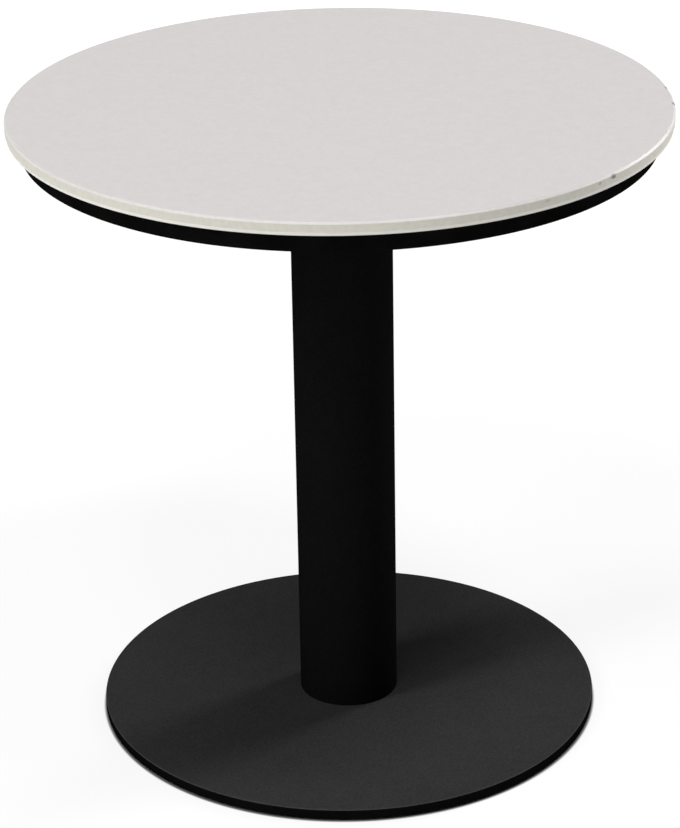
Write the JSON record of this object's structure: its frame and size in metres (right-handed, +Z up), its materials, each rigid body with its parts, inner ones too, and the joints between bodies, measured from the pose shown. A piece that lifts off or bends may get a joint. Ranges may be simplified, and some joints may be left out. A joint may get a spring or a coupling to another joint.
{
  "type": "lounge table",
  "caption": "Round lounge table: a pale bevelled slab on a black board, carried by a black tube column on a flat round base with levelling glides.",
  "frame": {"origin": "on the floor, under the middle of the column", "axes": "+Z up along the column, -Y towards the viewer of the picture, +X to the viewer's right"},
  "size_m": [0.4999, 0.5, 0.503],
  "materials": {
    "slab": "matte",
    "adhesive": "satin",
    "board": "satin",
    "black_steel": "matte",
    "bare_steel": "satin",
    "zinc_steel": "satin",
    "nylon": "matte"
  },
  "bodies": {
    "table": {"table_top": "slab", "adhesive_pads": "adhesive", "sub_top": "board", "insert_nuts": "zinc_steel", "top_plate": "black_steel", "top_plate_screws": "zinc_steel", "top_plate_washers": "zinc_steel", "upper_column_screws": "zinc_steel", "upper_end_disc": "bare_steel", "column_tube": "black_steel", "lower_end_disc": "bare_steel", "lower_column_screws": "zinc_steel", "base_plate": "black_steel"},
    "pad_front_right": {"glide_pad_front_right": "nylon"},
    "stud_front_right": {"glide_stud_front_right": "zinc_steel"},
    "pad_back_right": {"glide_pad_back_right": "nylon"},
    "stud_back_right": {"glide_stud_back_right": "zinc_steel"},
    "pad_back_left": {"glide_pad_back_left": "nylon"},
    "stud_back_left": {"glide_stud_back_left": "zinc_steel"},
    "pad_front_left": {"glide_pad_front_left": "nylon"},
    "stud_front_left": {"glide_stud_front_left": "zinc_steel"}
  },
  "joints": [
    {"name": "front_right_glide_height", "type": "slide", "parent": "table", "child": "pad_front_right", "axis": [0, 0, -1], "range_m": [0, 0.002]},
    {"name": "front_right_glide_turn", "type": "hinge", "parent": "pad_front_right", "child": "stud_front_right", "pos_m": [0.11844, -0.11844, 0.0035], "axis": [0, 0, -1], "range_deg": [0, 576]},
    {"name": "back_right_glide_height", "type": "slide", "parent": "table", "child": "pad_back_right", "axis": [0, 0, -1], "range_m": [0, 0.002]},
    {"name": "back_right_glide_turn", "type": "hinge", "parent": "pad_back_right", "child": "stud_back_right", "pos_m": [0.11844, 0.11844, 0.0035], "axis": [0, 0, -1], "range_deg": [0, 576]},
    {"name": "back_left_glide_height", "type": "slide", "parent": "table", "child": "pad_back_left", "axis": [0, 0, -1], "range_m": [0, 0.002]},
    {"name": "back_left_glide_turn", "type": "hinge", "parent": "pad_back_left", "child": "stud_back_left", "pos_m": [-0.11844, 0.11844, 0.0035], "axis": [0, 0, -1], "range_deg": [0, 576]},
    {"name": "front_left_glide_height", "type": "slide", "parent": "table", "child": "pad_front_left", "axis": [0, 0, -1], "range_m": [0, 0.002]},
    {"name": "front_left_glide_turn", "type": "hinge", "parent": "pad_front_left", "child": "stud_front_left", "pos_m": [-0.11844, -0.11844, 0.0035], "axis": [0, 0, -1], "range_deg": [0, 576]}
  ],
  "couplings": [
    {"joint": "front_right_glide_turn", "follows": "front_right_glide_height", "rad_per_m": 5026.5},
    {"joint": "back_right_glide_turn", "follows": "back_right_glide_height", "rad_per_m": 5026.5},
    {"joint": "back_left_glide_turn", "follows": "back_left_glide_height", "rad_per_m": 5026.5},
    {"joint": "front_left_glide_turn", "follows": "front_left_glide_height", "rad_per_m": 5026.5}
  ]
}
